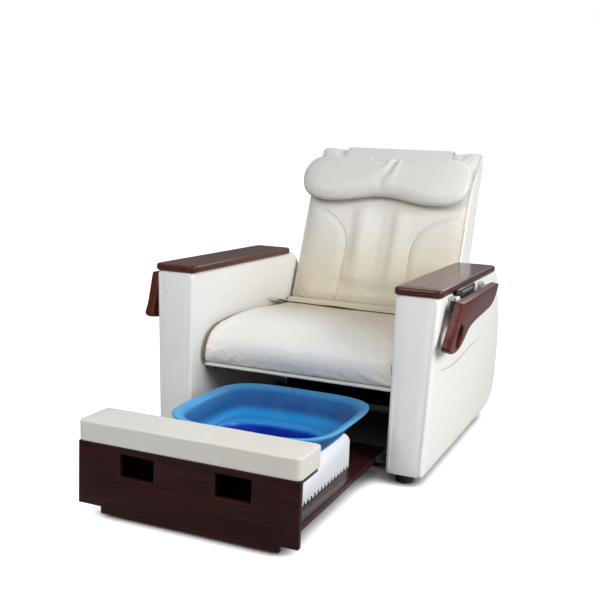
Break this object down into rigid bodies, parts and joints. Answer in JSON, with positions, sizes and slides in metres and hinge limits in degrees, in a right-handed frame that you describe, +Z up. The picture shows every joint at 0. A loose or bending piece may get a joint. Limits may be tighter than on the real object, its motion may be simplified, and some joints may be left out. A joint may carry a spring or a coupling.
{
  "type": "pedicure spa chair",
  "caption": "Upholstered massage armchair with a reclining back, swing-up side trays and a foot-bath drawer with a footrest that rolls out from under the seat.",
  "frame": {"origin": "on the floor under the middle of the chair's outline with the drawer pulled out", "axes": "+Z up, the sitter faces -Y towards the drawer, +X to the sitter's left-hand arm seen from the front on the right"},
  "size_m": [1.0252, 1.7252, 0.9785],
  "materials": {
    "leather_front": "satin grained vinyl",
    "leather": "satin grained vinyl",
    "leather_shell": "satin grained vinyl",
    "mahogany": "high-gloss lacquer",
    "dark_panel": "satin lacquer with visible grain",
    "plywood": "raw birch",
    "black_plastic": "fine texture",
    "rubber": "matt",
    "black_steel": "semi-gloss powder coat",
    "bright_steel": "zinc plated",
    "basin_blue": "glossy moulded",
    "stand_white": "satin moulded",
    "button_grey": "silkscreen-free, matt",
    "roller_grey": "matt",
    "nylon": "natural nylon"
  },
  "bodies": {
    "chair_base": {"left_arm_upholstery": "leather_shell", "right_arm_upholstery": "leather_shell", "left_arm_frame": "plywood", "right_arm_frame": "plywood", "arm_front_panels": "leather_front", "left_armrest_cap": "mahogany", "right_armrest_cap": "mahogany", "cap_bolts": "bright_steel", "feet": "rubber", "foot_bolts": "bright_steel", "seat_rails": "black_steel", "seat_rail_bolts": "bright_steel", "seat_board": "plywood", "seat_cushion": "leather", "rear_cross_beam": "black_steel", "base_cross_bar": "black_steel", "back_hinge_pins": "bright_steel", "drawer_tracks": "black_steel", "tray_hinge_brackets": "black_steel", "tray_hinge_pins": "black_steel", "control_holder": "black_plastic", "control_box": "black_plastic", "power_inlet": "black_plastic", "actuator_base_pin": "bright_steel"},
    "backrest": {"back_frame": "black_steel", "back_shell": "leather_shell", "back_pad": "leather", "massage_track": "bright_steel", "actuator_lever_pin": "bright_steel"},
    "massage_unit": {"massage_carriage": "black_plastic"},
    "upper_rollers": {"upper_kneading_rollers": "roller_grey"},
    "lower_rollers": {"lower_kneading_rollers": "roller_grey"},
    "headrest": {"head_pillow": "leather", "head_pillow_strap": "leather"},
    "recline_actuator": {"actuator_tube": "black_plastic"},
    "recline_rod": {"actuator_rod": "bright_steel"},
    "drawer": {"drawer_front": "dark_panel", "drawer_top": "mahogany", "drawer_base": "mahogany", "drawer_plinth": "mahogany", "drawer_cheeks": "mahogany", "footrest_cushion": "leather", "basin_stand": "stand_white", "wheel_forks": "black_steel", "wheel_axles": "bright_steel", "drawer_guide_shoes": "nylon"},
    "front_left_wheel": {"wheel_front_left": "rubber"},
    "front_right_wheel": {"wheel_front_right": "rubber"},
    "rear_left_wheel": {"wheel_rear_left": "rubber"},
    "rear_right_wheel": {"wheel_rear_right": "rubber"},
    "basin": {"foot_basin": "basin_blue"},
    "left_side_tray": {"left_tray": "mahogany", "left_tray_leaves": "black_steel"},
    "right_side_tray": {"right_tray": "mahogany", "right_tray_leaves": "black_steel"},
    "handset": {"hand_control": "black_plastic"},
    "recline_button": {"button_recline": "button_grey"},
    "raise_button": {"button_raise": "button_grey"},
    "massage_button": {"button_massage": "button_grey"},
    "power_button": {"button_power": "button_grey"}
  },
  "joints": [
    {"name": "backrest_recline", "type": "hinge", "parent": "chair_base", "child": "backrest", "pos_m": [0, 0.53835, 0.32719], "axis": [-1, 0, 0], "range_deg": [0, 32]},
    {"name": "massage_travel", "type": "slide", "parent": "backrest", "child": "massage_unit", "axis": [0, 0.3502, 0.9367], "range_m": [-0.09, 0.2]},
    {"name": "upper_roller_spin", "type": "hinge", "parent": "massage_unit", "child": "upper_rollers", "pos_m": [0, 0.60224, 0.57661], "axis": [1, 0, 0], "continuous": true},
    {"name": "lower_roller_spin", "type": "hinge", "parent": "massage_unit", "child": "lower_rollers", "pos_m": [0, 0.58403, 0.5279], "axis": [1, 0, 0], "continuous": true},
    {"name": "pillow_lift", "type": "slide", "parent": "backrest", "child": "headrest", "axis": [0, 0.3502, 0.9367], "range_m": [0, 0.1]},
    {"name": "actuator_swing", "type": "hinge", "parent": "chair_base", "child": "recline_actuator", "pos_m": [0, 0.6459, 0.15], "axis": [1, 0, 0], "range_deg": [0, 14.57]},
    {"name": "actuator_stroke", "type": "slide", "parent": "recline_actuator", "child": "recline_rod", "axis": [0, -0.2, 0.9798], "range_m": [-0.0286, 0]},
    {"name": "drawer_slide", "type": "slide", "parent": "chair_base", "child": "drawer", "axis": [0, 1, 0], "range_m": [0, 0.599]},
    {"name": "front_left_wheel_spin", "type": "hinge", "parent": "drawer", "child": "front_left_wheel", "pos_m": [-0.23, -0.7986, 0.018], "axis": [-1, 0, 0], "continuous": true},
    {"name": "front_right_wheel_spin", "type": "hinge", "parent": "drawer", "child": "front_right_wheel", "pos_m": [0.23, -0.7986, 0.018], "axis": [-1, 0, 0], "continuous": true},
    {"name": "rear_left_wheel_spin", "type": "hinge", "parent": "drawer", "child": "rear_left_wheel", "pos_m": [-0.23, -0.1636, 0.018], "axis": [-1, 0, 0], "continuous": true},
    {"name": "rear_right_wheel_spin", "type": "hinge", "parent": "drawer", "child": "rear_right_wheel", "pos_m": [0.23, -0.1636, 0.018], "axis": [-1, 0, 0], "continuous": true},
    {"name": "basin_lift", "type": "slide", "parent": "drawer", "child": "basin", "axis": [0, 0, -1], "range_m": [-0.25, 0]},
    {"name": "left_tray_swing", "type": "hinge", "parent": "chair_base", "child": "left_side_tray", "pos_m": [-0.478, 0.0364, 0.5535], "axis": [0, 1, 0], "range_deg": [0, 97]},
    {"name": "right_tray_swing", "type": "hinge", "parent": "chair_base", "child": "right_side_tray", "pos_m": [0.478, 0.0364, 0.5535], "axis": [0, -1, 0], "range_deg": [0, 97]},
    {"name": "handset_lift", "type": "slide", "parent": "chair_base", "child": "handset", "axis": [0.0376, 0, 0.9993], "range_m": [0, 0.08]},
    {"name": "recline_button_press", "type": "slide", "parent": "handset", "child": "recline_button", "axis": [-0.9993, 0, 0.0376], "range_m": [0, 0.001], "stiffness_N_per_m": 120},
    {"name": "raise_button_press", "type": "slide", "parent": "handset", "child": "raise_button", "axis": [-0.9993, 0, 0.0376], "range_m": [0, 0.001], "stiffness_N_per_m": 120},
    {"name": "massage_button_press", "type": "slide", "parent": "handset", "child": "massage_button", "axis": [-0.9993, 0, 0.0376], "range_m": [0, 0.001], "stiffness_N_per_m": 120},
    {"name": "power_button_press", "type": "slide", "parent": "handset", "child": "power_button", "axis": [-0.9993, 0, 0.0376], "range_m": [0, 0.001], "stiffness_N_per_m": 120}
  ],
  "couplings": [
    {"joint": "actuator_swing", "follows": "backrest_recline", "ratio": 0.455},
    {"joint": "actuator_stroke", "follows": "backrest_recline", "m_per_rad": -0.051},
    {"joint": "front_left_wheel_spin", "follows": "drawer_slide", "rad_per_m": 55.556},
    {"joint": "front_right_wheel_spin", "follows": "drawer_slide", "rad_per_m": 55.556},
    {"joint": "rear_left_wheel_spin", "follows": "drawer_slide", "rad_per_m": 55.556},
    {"joint": "rear_right_wheel_spin", "follows": "drawer_slide", "rad_per_m": 55.556}
  ]
}
